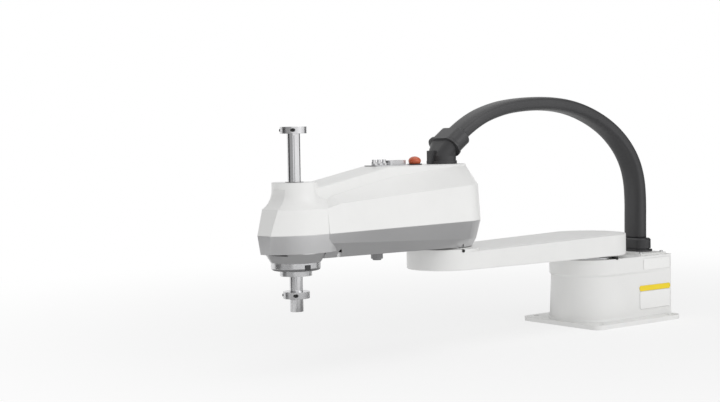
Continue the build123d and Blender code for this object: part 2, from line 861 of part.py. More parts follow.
def nut_cap():
    low = nut_housing_low() - nut_cap_height
    return tool_axis * ring(nut_cap_radius, spline_nut_radius + 1, low, low + nut_cap_height)


def sensor_block(gap=0.0):
    """The home sensor let into the side of the nut housing."""
    middle = nut_housing_low() + nut_housing_fillet / 2 + sensor_height / 2
    half = sensor_width / 2 + gap
    rise = sensor_height / 2 + gap
    back = nut_housing_radius - sensor_depth - gap
    front = nut_housing_radius + (nut_housing_radius if gap else 0)
    sensor = block(back, front, -half, half, middle - rise, middle + rise)
    return tool_axis * Rot(0, 0, sensor_angle) * sensor


# Motors, belts and their plate

def motor_plate():
    low = casting_floor_top + motor_plate_level
    high = low + motor_plate_thickness
    rear_x = ball_motor_station - ball_motor_width / 2 - 2 * motor_plate_post_radius - 4
    front_x = arm_2_length
    corner = motor_plate_half_width
    plan = block(rear_x, front_x, -corner, corner, low, high) + tool_axis * disc(corner, low, high)
    plan -= tool_axis * disc(ball_nut_radius + bearing_section + 2 * bearing_clearance, low - 1, high + 1)
    for station in (ball_motor_station, spline_motor_station):
        plan -= Pos(station, 0, 0) * disc(motor_pulley_radius + pulley_flange_overhang + 1, low - 1, high + 1)
    inset = motor_plate_post_inset
    for x in (rear_x + inset, front_x - 2 * inset):
        for y in (-corner + inset, corner - inset):
            plan += Pos(x, y, 0) * disc(motor_plate_post_radius, casting_floor_top, low)
    return plan


def plate_top():
    return casting_floor_top + motor_plate_level + motor_plate_thickness


def servo_motor(station, width, height, pulley_low):
    """A motor on the plate, with its shaft reaching down to its pulley's middle."""
    body = motor_can(width, plate_top(), height)
    connector = Pos(0, 0, plate_top() + height) * Box(width * 0.5, width * 0.4, 4, align=(Align.CENTER, Align.CENTER, Align.MIN))
    return Pos(station, 0, 0) * (body + connector)


def motor_pulley(station, pulley_low):
    """A motor's pulley with the shaft that carries it up to the motor."""
    top = pulley_low + belt_width + 2 * pulley_flange_height
    shaft = disc(motor_shaft_radius, top, plate_top() - running_gap)
    return Pos(station, 0, 0) * (pulley(motor_pulley_radius, pulley_low) + shaft)


def drive_belt(station, pulley_low):
    low = pulley_low + pulley_flange_height + belt_gap
    height = belt_width - 2 * belt_gap
    inner = nut_pulley_radius + belt_gap
    inner_small = motor_pulley_radius + belt_gap
    outline = [(arm_2_length, 0, inner + belt_thickness), (station, 0, inner_small + belt_thickness)]
    opening = [(arm_2_length, 0, inner), (station, 0, inner_small)]
    return extrude(hull_of_discs(outline, low) - hull_of_discs(opening, low), height)


def elbow_motor():
    flange = disc(elbow_motor_flange_radius, casting_floor_top, casting_floor_top + elbow_motor_flange_height)
    return flange + motor_can(elbow_motor_width, casting_floor_top + elbow_motor_flange_height, elbow_motor_height)


# Fittings on the cover

def connector_plate():
    half = connector_plate_half_width
    centre = -connector_offset
    top = cover_top + connector_plate_thickness
    return block(connector_plate_rear, connector_plate_front, centre - half, centre + half, cover_top, top)


def air_fittings():
    fitting = push_in_fitting(air_fitting_radius, air_fitting_height, air_fitting_hex_height)
    level = cover_top + connector_plate_thickness
    return [Pos(x, -connector_offset, level) * fitting for x in air_fitting_stations]


def signal_socket():
    """A rectangular socket for the user's cable, open at the top."""
    wall = 2.0
    outline = RectangleRounded(signal_socket_length, signal_socket_width, 3)
    hollow = RectangleRounded(signal_socket_length - 7 * wall, signal_socket_width - 2 * wall, 2)
    shell = extrude(outline, signal_socket_height) - Pos(0, 0, wall) * extrude(hollow, signal_socket_height)
    return Pos(signal_socket_station, -connector_offset, cover_top + connector_plate_thickness) * shell


def lamp_base():
    return Pos(lamp_station, 0, 0) * disc(lamp_base_radius, cover_top, cover_top + lamp_base_height)


def status_lamp():
    low = cover_top + lamp_base_height
    skirt = lamp_height - lamp_radius
    dome = Pos(0, 0, low + skirt) * Sphere(lamp_radius)
    upper = dome & disc(lamp_radius + 1, low + skirt, low + lamp_height + 1)
    return Pos(lamp_station, 0, 0) * (upper + disc(lamp_radius, low, low + skirt))


# Brake release button

def belly_level(station):
    return arm_2_bottom + belly_rise * station / arm_2_length


def button_seat():
    return belly_level(button_station) + casting_floor / 2


def button_bezel():
    high = belly_level(button_station - bezel_radius) - 0.05
    return Pos(button_station, 0, 0) * ring(bezel_radius, bezel_bore_radius, high - bezel_height, high)


def brake_button():
    low = belly_level(button_station) - bezel_height - button_stand
    cap = disc(button_radius, low, low + button_length)
    return Pos(button_station, 0, 0) * cap


# Cable duct

def base_fitting_plane(rise):
    return Plane((duct_base_x, 0, base_height + duct_plate_thickness + rise), x_dir=(1, 0, 0), z_dir=(0, 0, 1))


def fitting_body(plane_at, length):
    """Ring, groove and nut of a duct fitting, stacked along the duct's axis."""
    body = slot_prism(fitting_ring_width, fitting_ring_thickness, plane_at(0), fitting_ring_height)
    neck_low = fitting_ring_height
    body += slot_prism(fitting_neck_width, fitting_neck_thickness, plane_at(neck_low), fitting_neck_height)
    nut_low = neck_low + fitting_neck_height
    straight = length - nut_low - fitting_end_chamfer
    body += slot_prism(fitting_nut_width, fitting_nut_thickness, plane_at(nut_low), straight)
    shoulder = slot_face(fitting_nut_width, fitting_nut_thickness, plane_at(nut_low + straight))
    mouth_width = fitting_nut_width - 2 * fitting_end_chamfer
    mouth_thickness = fitting_nut_thickness - 2 * fitting_end_chamfer
    mouth = slot_face(mouth_width, mouth_thickness, plane_at(length))
    return body + loft([shoulder, mouth], ruled=True)


def base_duct_fitting():
    return fitting_body(base_fitting_plane, duct_base_exit - duct_plate_thickness)


def duct_plate():
    half = duct_plate_half_width
    high = base_height + duct_plate_thickness
    return block(-duct_plate_rear, -duct_plate_front, -half, half, base_height, high)


def duct_plate_screws():
    inset = duct_plate_screw_inset
    xs = (-duct_plate_rear + inset, -duct_plate_front - inset)
    ys = (-duct_plate_half_width + inset, duct_plate_half_width - inset)
    head = screw_head(panel_screw_radius, panel_screw_head)
    return [Pos(x, y, base_height + duct_plate_thickness) * head for x in xs for y in ys]


def elbow_axis_dir():
    return (-cos(radians(elbow_tilt)), 0, sin(radians(elbow_tilt)))


def elbow_ring_point():
    return Vector(arm_1_length - elbow_ring_x, 0, cover_top + elbow_ring_z)


def elbow_plane(rise):
    direction = Vector(*elbow_axis_dir())
    side = (sin(radians(elbow_tilt)), 0, cos(radians(elbow_tilt)))
    return Plane(elbow_ring_point() + direction * rise, x_dir=side, z_dir=direction)


def swivel_plane(rise):
    return Plane((arm_1_length, 0, cover_top + running_gap + rise), x_dir=(1, 0, 0), z_dir=(0, 0, 1))


def duct_elbow():
    low = cover_top + running_gap
    swivel = disc(swivel_radius, low, low + swivel_height) + disc(swivel_hub_radius, low - swivel_hub_depth, low)
    neck = slot_prism(elbow_neck_width, elbow_neck_thickness, swivel_plane(0), elbow_neck_height)
    start = slot_face(elbow_neck_width, elbow_neck_thickness, swivel_plane(elbow_neck_height))
    end = slot_face(fitting_neck_width, fitting_neck_thickness, elbow_plane(0))
    bend = loft([start, end], ruled=True)
    lug = block(0, swivel_radius + 3, -elbow_lug_width / 2, elbow_lug_width / 2, low, low + elbow_lug_height)
    return elbow_axis * (swivel + lug) + neck + bend


def duct_nut():
    return fitting_body(elbow_plane, elbow_nut_length)


def duct_path_points():
    exit_point = elbow_plane(elbow_nut_length).origin
    second = exit_point + Vector(*elbow_axis_dir()) * duct_first_run
    low = base_height + duct_base_exit
    points = [(exit_point.X, exit_point.Z), (second.X, second.Z)] + list(duct_points)
    points += [(duct_base_x, low + duct_last_run), (duct_base_x, low)]
    return [Vector(x, 0, z) for x, z in points]


def duct_radii(points):
    """The largest arc that each corner's two runs leave room for."""
    radii = []
    for before, corner, after in zip(points, points[1:], points[2:]):
        first, second = corner - before, after - corner
        half_turn = radians(first.get_angle(second)) / 2
        radii.append(0.45 * min(first.length, second.length) * cos(half_turn) / sin(half_turn))
    return radii


def cable_duct():
    points = duct_path_points()
    radii = duct_radii(points)
    path = FilletPolyline(*points, radius=radii)
    start = Plane(points[0], x_dir=elbow_plane(0).x_dir, z_dir=elbow_plane(0).z_dir)
    section = slot_face(duct_width, duct_thickness, start)
    duct = sweep(section, path)
    print("duct radii", [round(radius) for radius in radii])
    print("duct length", round(path.length, 1), "volume ratio", round(duct.volume / (section.area * path.length), 4))
    return duct


def build_base():
    save("base_housing", base_housing())
    save("shoulder_reducer", shoulder_reducer())
    save("shoulder_motor", shoulder_motor())
    save("shoulder_stop_pin", shoulder_stop_place() * stop_pin_shape())
    save("rear_panel", rear_panel())
    save("panel_screws", *panel_screws())
    save("rear_sockets", *rear_sockets())
    save("rear_air_fittings", *rear_air_fittings())
    save("duct_plate", duct_plate())
    save("duct_plate_screws", *duct_plate_screws())
    save("base_duct_fitting", base_duct_fitting())
    save("cable_duct", cable_duct())


def build_arm_1():
    save("arm_1_casting", arm_1_casting())
    save("shoulder_output_flange", shoulder_output())
    save("elbow_reducer", elbow_reducer())
    save("elbow_stop_pin", elbow_stop_place() * stop_pin_shape())


def build_arm_2():
    ball_low, spline_low = ball_pulley_low(), spline_pulley_low()
    bearing_low = nut_housing_low() + 2 + running_gap
    pieces = {
        "arm_2_casting": [arm_2_casting()],
        "arm_2_cover": [arm_2_cover()],
        "cover_screws": cover_screws(),
        "elbow_motor": [elbow_motor()],
        "motor_plate": [motor_plate()],
        "lift_motor": [servo_motor(ball_motor_station, ball_motor_width, ball_motor_height, ball_low)],
        "roll_motor": [servo_motor(spline_motor_station, spline_motor_width, spline_motor_height, spline_low)],
        "lift_belt": [drive_belt(ball_motor_station, ball_low)],
        "roll_belt": [drive_belt(spline_motor_station, spline_low)],
        "lift_motor_pulley": [motor_pulley(ball_motor_station, ball_low)],
        "roll_motor_pulley": [motor_pulley(spline_motor_station, spline_low)],
        "ball_nut": [ball_nut()],
        "spline_nut": [spline_nut()],
        "ball_nut_bearing": [nut_bearing(ball_nut_radius, plate_top() - bearing_width)],
        "lower_nut_bearing": [nut_bearing(spline_nut_radius, bearing_low)],
        "upper_nut_bearing": [nut_bearing(spline_nut_radius, casting_floor_top - bearing_width)],
        "nut_housing": [nut_housing()],
        "nut_cap": [nut_cap()],
        "home_sensor": [sensor_block()],
        "shaft_seal": [shaft_seal()],
        "tool_shaft": [tool_shaft()],
        "top_stop_collar": [collar_shape(shaft_top - stop_collar_height)],
        "lower_stop_collar": [collar_shape(lower_collar_bottom)],
        "collar_screws": [collar_screw(shaft_top - stop_collar_height), collar_screw(lower_collar_bottom)],
        "connector_plate": [connector_plate()],
        "air_fittings": air_fittings(),
        "signal_socket": [signal_socket()],
        "lamp_base": [lamp_base()],
        "status_lamp": [status_lamp()],
        "button_bezel": [button_bezel()],
        "brake_button": [brake_button()],
    }
    for name, solids in pieces.items():
        save(name, *[arm_2_frame * solid for solid in solids])


def build_elbow():
    elbow_output_part = arm_2_frame * elbow_axis.inverse() * elbow_output()
    save("elbow_output_flange", elbow_output_part)
    save("duct_elbow", duct_elbow())
    save("duct_nut", duct_nut())


os.makedirs("parts", exist_ok=True)
build_base()
build_arm_1()
build_arm_2()
build_elbow()
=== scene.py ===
"""A four-axis SCARA robot on a pale studio floor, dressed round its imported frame."""
import math

import bpy
import numpy as np
from mathutils import Matrix, Vector


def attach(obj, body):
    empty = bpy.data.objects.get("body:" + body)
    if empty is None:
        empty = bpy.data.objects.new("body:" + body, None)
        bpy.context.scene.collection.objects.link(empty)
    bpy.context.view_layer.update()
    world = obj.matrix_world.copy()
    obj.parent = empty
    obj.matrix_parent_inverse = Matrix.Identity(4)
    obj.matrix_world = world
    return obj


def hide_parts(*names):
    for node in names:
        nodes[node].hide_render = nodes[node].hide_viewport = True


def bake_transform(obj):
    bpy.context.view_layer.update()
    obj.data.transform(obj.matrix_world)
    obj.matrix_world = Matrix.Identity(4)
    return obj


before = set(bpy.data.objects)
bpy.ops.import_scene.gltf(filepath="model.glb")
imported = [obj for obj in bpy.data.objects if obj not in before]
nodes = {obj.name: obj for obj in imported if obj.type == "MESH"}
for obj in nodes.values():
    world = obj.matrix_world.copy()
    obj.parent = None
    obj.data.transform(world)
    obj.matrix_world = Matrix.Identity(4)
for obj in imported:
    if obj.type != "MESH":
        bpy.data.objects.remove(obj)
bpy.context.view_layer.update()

# Sizes in metres, repeated from the model, and the counts of the grids
ARM_LENGTH = 0.350
REST_ANGLE = math.radians(10.3)
DUCT_WIDTH = 0.044
DUCT_THICKNESS = 0.024
DUCT_SQUARENESS = 3.2
DUCT_SIDES = 64
BASE_SIDE = 0.068
BASE_WAIST = 0.065
BASE_REAR_CORNER = 0.155
BASE_FOOT_TOP = 0.012
BASE_BAND_LOW = 0.088
BASE_BAND_STEP = 0.004
LABEL_PROUD = 0.0003
LABEL_CORNER = 0.003
LABEL_REAR = -0.153
LABEL_GRID = (41, 25)
LAMP_STATION = 0.071
LAMP_LOW = 0.302
LAMP_RADIUS = 0.0103
LAMP_SWELL_HEIGHT = 0.0045
LAMP_CROWN = 0.0075
LAMP_FOOT_DEGREES = 32
LAMP_RINGS = 33
LAMP_SIDES = 64
ELBOW = np.array((ARM_LENGTH, 0.0, 0.0))
ALONG = np.array((math.cos(REST_ANGLE), math.sin(REST_ANGLE), 0.0))
TOOL_AXIS = ELBOW + ARM_LENGTH * ALONG

# The camera fitted to the photograph's frame
PHOTO_WIDTH = 720
FOCAL_PIXELS = 1328.3
CAMERA_PLACE = (1.81634, 1.67779, 0.34882)
CAMERA_AZIMUTH = math.radians(142.396)
CAMERA_PITCH = math.radians(2.805)
CAMERA_ROLL = math.radians(-0.975)

# The studio: the floor fades to white over its reach, and the room's light runs with how far a
# direction faces the bright side
CARD_HEIGHT = 1.2
FLOOR_SIZE = 12.0
FLOOR_LEVEL = -0.0002
FLOOR_GREY = 0.90
FLOOR_FADE_REACH = (0.25, 1.6)
FLOOR_FADE_SHARE = (0.70, 1.0)
BRIGHT_SIDE = (-0.25, 0.93, 0.25)
ROOM_FACING = (-0.5, 0.9)
ROOM_LIGHT = (0.42, 0.80)

# What the finishes share: the middle range of a noise pattern, the wide clouds of the two tones,
# how far the gloss wanders and how strongly the relief shows
NOISE_MIDDLE = (0.3, 0.7)
CLOUD_SCALE = 14.0
CLOUD_DETAIL = 4.0
GLOSS_WANDER = 0.12
RELIEF_STRENGTH = 0.35

# The duct's route, from the elbow fitting's nut to the base fitting
DUCT_ROUTE = (
    (0.3175, 0, 0.3475),
    (0.2843, 0, 0.3716),
    (0.2220, 0, 0.3925),
    (0.1600, 0, 0.4000),
    (0.0980, 0, 0.4010),
    (0.0420, 0, 0.3945),
    (-0.0120, 0, 0.3780),
    (-0.0600, 0, 0.3540),
    (-0.0970, 0, 0.3235),
    (-0.1215, 0, 0.2900),
    (-0.1335, 0, 0.2540),
    (-0.1363, 0, 0.2140),
    (-0.1355, 0, 0.1800),
    (-0.1355, 0, 0.1470),
)


# Materials

def new_material(name):
    """A material with its node tree and its main shader."""
    material = bpy.data.materials.new(name)
    material.use_nodes = True
    tree = material.node_tree
    return material, tree, tree.nodes["Principled BSDF"]


def object_noise(tree, scale, detail, stretch=(1, 1, 1)):
    """Noise on the piece's own coordinates, stretched along its axes."""
    coordinates = tree.nodes.new("ShaderNodeTexCoord")
    mapping = tree.nodes.new("ShaderNodeMapping")
    mapping.inputs["Scale"].default_value = stretch
    noise = tree.nodes.new("ShaderNodeTexNoise")
    noise.inputs["Scale"].default_value = scale
    noise.inputs["Detail"].default_value = detail
    tree.links.new(coordinates.outputs["Object"], mapping.inputs["Vector"])
    tree.links.new(mapping.outputs["Vector"], noise.inputs["Vector"])
    return noise.outputs["Fac"]


def spread(tree, factor, low, high):
    """A number that runs from low to high as a pattern runs over its middle range."""
    remap = tree.nodes.new("ShaderNodeMapRange")
    remap.inputs["From Min"].default_value, remap.inputs["From Max"].default_value = NOISE_MIDDLE
    remap.inputs["To Min"].default_value, remap.inputs["To Max"].default_value = low, high
    tree.links.new(factor, remap.inputs["Value"])
    return remap.outputs["Result"]


def two_tone(tree, factor, first, second):
    """A colour that runs from the first tone to the second as a pattern runs over its middle range."""
    ramp = tree.nodes.new("ShaderNodeValToRGB")
    for stop, place, tone in zip(ramp.color_ramp.elements, NOISE_MIDDLE, (first, second)):
        stop.position = place
        stop.color = (*tone, 1)
    tree.links.new(factor, ramp.inputs["Fac"])
    return ramp.outputs["Color"]


def relief(tree, height, distance):
    """A bump in the shading that follows a pattern's height."""
    bump = tree.nodes.new("ShaderNodeBump")
    bump.inputs["Distance"].default_value = distance
    bump.inputs["Strength"].default_value = RELIEF_STRENGTH
    tree.links.new(height, bump.inputs["Height"])
    return bump


def eased_edges(tree, bump, radius):
    """Rounds the shading over sharp edges by a small radius."""
    bevel = tree.nodes.new("ShaderNodeBevel")
    bevel.samples = 4
    bevel.inputs["Radius"].default_value = radius
    tree.links.new(bevel.outputs["Normal"], bump.inputs["Normal"])


def coated(name, tones, roughness, grain, metallic=0.0, edge=0.0006, depth=0.00002, stretch=(1, 1, 1)):
    """A painted, moulded or cast finish: two close tones, an uneven gloss and a fine relief."""
    material, tree, shader = new_material(name)
    cloud = object_noise(tree, CLOUD_SCALE, CLOUD_DETAIL)
    tree.links.new(two_tone(tree, cloud, *tones), shader.inputs["Base Color"])
    fine = object_noise(tree, grain, detail=2.0, stretch=stretch)
    gloss = spread(tree, fine, roughness * (1 - GLOSS_WANDER), roughness * (1 + GLOSS_WANDER))
    tree.links.new(gloss, shader.inputs["Roughness"])
    bump = relief(tree, fine, depth)
    eased_edges(tree, bump, edge)
    tree.links.new(bump.outputs["Normal"], shader.inputs["Normal"])
    shader.inputs["Metallic"].default_value = metallic
    return material


def turned_steel(name, tones, roughness, grain):
    """Ground or turned metal, with fine rings round a vertical axis."""
    return coated(name, tones, roughness, grain, metallic=1.0, edge=0.0003, depth=0.00001,
                  stretch=(0.05, 0.05, 1.0))


def lamp_lens(name):
    """A translucent orange plastic with a glossy skin."""
    material, tree, shader = new_material(name)
    cloud = object_noise(tree, scale=60.0, detail=2.0)
    orange = two_tone(tree, cloud, (0.52, 0.085, 0.022), (0.62, 0.11, 0.03))
    tree.links.new(orange, shader.inputs["Base Color"])
    tree.links.new(spread(tree, cloud, 0.26, 0.36), shader.inputs["Roughness"])
    shader.inputs["Subsurface Weight"].default_value = 0.15
    shader.inputs["Subsurface Radius"].default_value = (0.004, 0.001, 0.0005)
    shader.inputs["Coat Weight"].default_value = 0.3
    return material


white_paint = coated("white_paint", ((0.80, 0.80, 0.79), (0.83, 0.83, 0.82)), roughness=0.42, grain=900.0)
white_cover = coated("white_cover", ((0.84, 0.84, 0.83), (0.87, 0.87, 0.86)), roughness=0.34, grain=700.0,
                     edge=0.0012)
grey_casting = coated("grey_casting", ((0.66, 0.66, 0.665), (0.70, 0.70, 0.705)), roughness=0.32, grain=300.0,
                      metallic=0.75, edge=0.0010, depth=0.000003)
machined = turned_steel("machined_aluminium", ((0.62, 0.62, 0.63), (0.68, 0.68, 0.69)), roughness=0.27,
                        grain=900.0)
shaft_steel = turned_steel("shaft_steel", ((0.66, 0.66, 0.67), (0.73, 0.73, 0.74)), roughness=0.16,
                           grain=1500.0)
dark_steel = coated("dark_steel", ((0.020, 0.020, 0.020), (0.030, 0.030, 0.030)), roughness=0.35,
                    grain=1200.0, metallic=0.3)
duct_plastic = coated("duct_plastic", ((0.040, 0.040, 0.042), (0.048, 0.048, 0.050)), roughness=0.46,
                      grain=1600.0)
fitting_plastic = coated("fitting_plastic", ((0.034, 0.034, 0.036), (0.042, 0.042, 0.044)), roughness=0.40,
                         grain=1300.0)
belt_rubber = coated("belt_rubber", ((0.018, 0.018, 0.018), (0.026, 0.026, 0.026)), roughness=0.62,
                     grain=900.0)
button_plastic = coated("button_plastic", ((0.23, 0.23, 0.235), (0.27, 0.27, 0.275)), roughness=0.42,
                        grain=1000.0)
lamp_orange = lamp_lens("lamp_orange")
label_white = coated("label_white", ((0.86, 0.86, 0.85), (0.88, 0.88, 0.87)), roughness=0.30, grain=500.0)
label_yellow = coated("label_yellow", ((0.88, 0.66, 0.01), (0.92, 0.70, 0.02)), roughness=0.32, grain=500.0)

FINISHES = {
    "base_housing": white_paint,
    "rear_panel": white_paint,
    "duct_plate": white_paint,
    "arm_1_casting": white_paint,
    "arm_2_cover": white_cover,
    "arm_2_casting": grey_casting,
    "nut_housing": machined,
    "nut_cap": machined,
    "motor_plate": machined,
    "shoulder_output_flange": machined,
    "elbow_output_flange": machined,
    "shoulder_reducer": machined,
    "elbow_reducer": white_paint,
    "connector_plate": machined,
    "tool_shaft": shaft_steel,
    "top_stop_collar": machined,
    "lower_stop_collar": machined,
    "ball_nut": shaft_steel,
    "spline_nut": shaft_steel,
    "lift_motor_pulley": machined,
    "roll_motor_pulley": machined,
    "ball_nut_bearing": shaft_steel,
    "lower_nut_bearing": shaft_steel,
    "upper_nut_bearing": shaft_steel,
    "cover_screws": shaft_steel,
    "panel_screws": shaft_steel,
    "duct_plate_screws": shaft_steel,
    "collar_screws": dark_steel,
    "air_fittings": shaft_steel,
    "rear_air_fittings": shaft_steel,
    "signal_socket": machined,
    "shoulder_stop_pin": dark_steel,
    "elbow_stop_pin": dark_steel,
    "shoulder_motor": dark_steel,
    "elbow_motor": dark_steel,
    "lift_motor": dark_steel,
    "roll_motor": dark_steel,
    "base_duct_fitting": fitting_plastic,
    "duct_elbow": fitting_plastic,
    "duct_nut": fitting_plastic,
    "rear_sockets": fitting_plastic,
    "home_sensor": fitting_plastic,
    "lamp_base": fitting_plastic,
    "cable_duct": duct_plastic,
    "lift_belt": belt_rubber,
    "roll_belt": belt_rubber,
    "shaft_seal": belt_rubber,
    "status_lamp": lamp_orange,
    "button_bezel": button_plastic,
    "brake_button": button_plastic,
}


def finish_frame():
    """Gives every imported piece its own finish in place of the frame's plain one."""
    for name, node in nodes.items():
        node.data.materials.clear()
        node.data.materials.append(FINISHES[name])


# Surfaces worked out on grids

def surface(name, points, material, loop_rows=False, loop_columns=False):
    """A mesh from a (rows, columns, 3) array of points, joined into quads between neighbours."""
    rows, columns = points.shape[:2]
    row = np.arange(rows if loop_rows else rows - 1)
    column = np.arange(columns if loop_columns else columns - 1)
    r, c = np.meshgrid(row, column, indexing="ij")
    next_r, next_c = (r + 1) % rows, (c + 1) % columns
    near_row, far_row = r * columns, next_r * columns
    quads = np.stack((near_row + c, near_row + next_c, far_row + next_c, far_row + c), -1)
    mesh = bpy.data.meshes.new(name)
    mesh.from_pydata(points.reshape(-1, 3).tolist(), [], quads.reshape(-1, 4).tolist())
    mesh.polygons.foreach_set("use_smooth", np.ones(len(mesh.polygons), bool))
    mesh.materials.append(material)
    mesh.update()
    piece = bpy.data.objects.new(name, mesh)
    bpy.context.scene.collection.objects.link(piece)
    return piece


def route_points(route):
    """Points read along the NURBS spline that has the route's points as its control points."""
    curve = bpy.data.curves.new("route", "CURVE")
    curve.dimensions = "3D"
    spline = curve.splines.new("NURBS")
    spline.points.add(len(route) - 1)
    spline.points.foreach_set("co", np.column_stack((route, np.ones(len(route)))).ravel())
    spline.order_u = 3
    spline.use_endpoint_u = True
    spline.resolution_u = 16
    holder = bpy.data.objects.new("route", curve)
    mesh = bpy.data.meshes.new_from_object(holder)
    points = np.empty(len(mesh.vertices) * 3)
    mesh.vertices.foreach_get("co", points)
    bpy.data.objects.remove(holder)
    bpy.data.meshes.remove(mesh)
    return points.reshape(-1, 3)


def capped_rings(rings):
    """Adds a ring drawn in to its centre at both ends, which closes the tube."""
    first = np.repeat(rings[:1].mean(1, keepdims=True), rings.shape[1], 1)
    last = np.repeat(rings[-1:].mean(1, keepdims=True), rings.shape[1], 1)
    return np.concatenate((first, rings, last))


def cable_duct():
    """The duct: a superellipse section, wide across the arm, carried along the route in its own plane."""
    line = route_points(DUCT_ROUTE)
    along = np.gradient(line, axis=0)
    along /= np.linalg.norm(along, axis=1, keepdims=True)
    side = np.array((0.0, 1.0, 0.0))
    out = np.cross(side, along)
    turn = np.linspace(0, 2 * np.pi, DUCT_SIDES, endpoint=False)
    power = 2 / DUCT_SQUARENESS
    wide = np.sign(np.cos(turn)) * np.abs(np.cos(turn)) ** power * DUCT_WIDTH / 2
    thick = np.sign(np.sin(turn)) * np.abs(np.sin(turn)) ** power * DUCT_THICKNESS / 2
    rings = line[:, None] + wide[None, :, None] * side + thick[None, :, None] * out[:, None]
    duct = surface("duct_hose", capped_rings(rings), duct_plastic, loop_columns=True)
    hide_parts("cable_duct")
    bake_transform(duct)


def base_side_surface(x, z):
    """The base's +Y side: its half width runs from the drafted skirt's waist to the corner's full width."""
    draft = np.clip((z - BASE_FOOT_TOP) / (BASE_BAND_LOW - BASE_FOOT_TOP), 0, 1)
    waist = BASE_SIDE + (BASE_WAIST - BASE_SIDE) * draft
    waist = np.where(z > BASE_BAND_LOW + BASE_BAND_STEP, BASE_SIDE, waist)
    return waist + (BASE_SIDE - waist) * np.clip(-x / BASE_REAR_CORNER, 0, 1)


def label_plate(name, x_front, x_rear, z_low, z_high, material):
    """A thin bare plate on the base's side: a grid whose ends are drawn in along quarter circles."""
    across = np.linspace(0, 1, LABEL_GRID[0])[:, None]
    up = np.linspace(0, 1, LABEL_GRID[1])[None, :]
    edge = np.minimum(np.minimum(across, 1 - across) * (x_front - x_rear) / LABEL_CORNER, 1)
    drop = LABEL_CORNER * (1 - np.sqrt(1 - (1 - edge) ** 2))
    z = z_low + drop + up * (z_high - z_low - 2 * drop)
    x = x_front + across * (x_rear - x_front) + 0 * up
    y = base_side_surface(x, z) + LABEL_PROUD
    plate = surface(name, np.stack((x, y, z), -1), material)
    wall = plate.modifiers.new("wall", "SOLIDIFY")
    wall.thickness = LABEL_PROUD
    wall.offset = -1.0
    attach(plate, "base")


def label_plates():
    """Two white plates, the lower one under a yellow header, each between a front and a rear edge."""
    label_plate("rating_plate_upper", -0.078, LABEL_REAR, 0.0935, 0.1145, label_white)
    label_plate("rating_plate_lower", -0.068, LABEL_REAR, 0.0215, 0.0545, label_white)
    label_plate("rating_plate_header", -0.068, LABEL_REAR, 0.0550, 0.0650, label_yellow)


def status_lamp():
    """The lamp's dome, turned round a vertical axis: the radius goes with the rise's cosine and the height
    with its sine, and below the widest ring the height grows a little faster."""
    rise = np.radians(np.linspace(-LAMP_FOOT_DEGREES, 90, LAMP_RINGS))[:, None]
    turn = np.linspace(0, 2 * np.pi, LAMP_SIDES, endpoint=False)[None, :]
    foot = LAMP_SWELL_HEIGHT / np.sin(np.radians(LAMP_FOOT_DEGREES))
    crown = np.where(rise < 0, foot, LAMP_CROWN)
    radius = LAMP_RADIUS * np.cos(rise)
    height = LAMP_LOW + LAMP_SWELL_HEIGHT + crown * np.sin(rise) + 0 * turn
    centre = ELBOW + LAMP_STATION * ALONG
    rings = np.stack((centre[0] + radius * np.cos(turn), centre[1] + radius * np.sin(turn), height), -1)
    lamp = surface("lamp_dome", capped_rings(rings), lamp_orange, loop_columns=True)
    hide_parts("status_lamp")
    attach(lamp, "arm_2")


# The photograph's studio

def add_camera():
    """The fitted camera: its right, up and view directions from its azimuth, pitch and roll."""
    azimuth, pitch, roll = CAMERA_AZIMUTH, CAMERA_PITCH, CAMERA_ROLL
    flat_right = Vector((math.cos(azimuth), math.sin(azimuth), 0))
    level = math.cos(pitch)
    ahead = Vector((-math.sin(azimuth) * level, math.cos(azimuth) * level, -math.sin(pitch)))
    flat_up = flat_right.cross(ahead)
    right = flat_right * math.cos(roll) + flat_up * math.sin(roll)
    up = flat_up * math.cos(roll) - flat_right * math.sin(roll)
    data = bpy.data.cameras.new("camera")
    data.sensor_width = 36.0
    data.lens = FOCAL_PIXELS / PHOTO_WIDTH * data.sensor_width
    camera = bpy.data.objects.new("camera", data)
    camera.matrix_world = Matrix.Translation(CAMERA_PLACE) @ Matrix((right, up, -ahead)).transposed().to_4x4()
    bpy.context.scene.collection.objects.link(camera)
    bpy.context.scene.camera = camera


def add_floor():
    """A pale floor that keeps a soft shadow near the base and fades to white."""
    line = np.linspace(-FLOOR_SIZE, FLOOR_SIZE, 3)
    x, y = np.meshgrid(line, line, indexing="ij")
    material, tree, shader = new_material("studio_floor")
    points = np.stack((x, y, np.full_like(x, FLOOR_LEVEL)), -1)
    floor = surface("studio_floor", points, material)
    shader.inputs["Base Color"].default_value = (FLOOR_GREY, FLOOR_GREY, FLOOR_GREY, 1)
    shader.inputs["Roughness"].default_value = 0.6
    shader.inputs["Specular IOR Level"].default_value = 0
    coordinates = tree.nodes.new("ShaderNodeTexCoord")
    distance = tree.nodes.new("ShaderNodeVectorMath")
    distance.operation = "LENGTH"
    fade = tree.nodes.new("ShaderNodeMapRange")
    fade.interpolation_type = "SMOOTHSTEP"
    fade.inputs["From Min"].default_value, fade.inputs["From Max"].default_value = FLOOR_FADE_REACH
    fade.inputs["To Min"].default_value, fade.inputs["To Max"].default_value = FLOOR_FADE_SHARE
    glow = tree.nodes.new("ShaderNodeEmission")
    mix = tree.nodes.new("ShaderNodeMixShader")
    tree.links.new(coordinates.outputs["Object"], distance.inputs[0])
    tree.links.new(distance.outputs["Value"], fade.inputs["Value"])
    tree.links.new(fade.outputs["Result"], mix.inputs["Fac"])
    tree.links.new(shader.outputs["BSDF"], mix.inputs[1])
    tree.links.new(glow.outputs["Emission"], mix.inputs[2])
    tree.links.new(mix.outputs["Shader"], tree.nodes["Material Output"].inputs["Surface"])


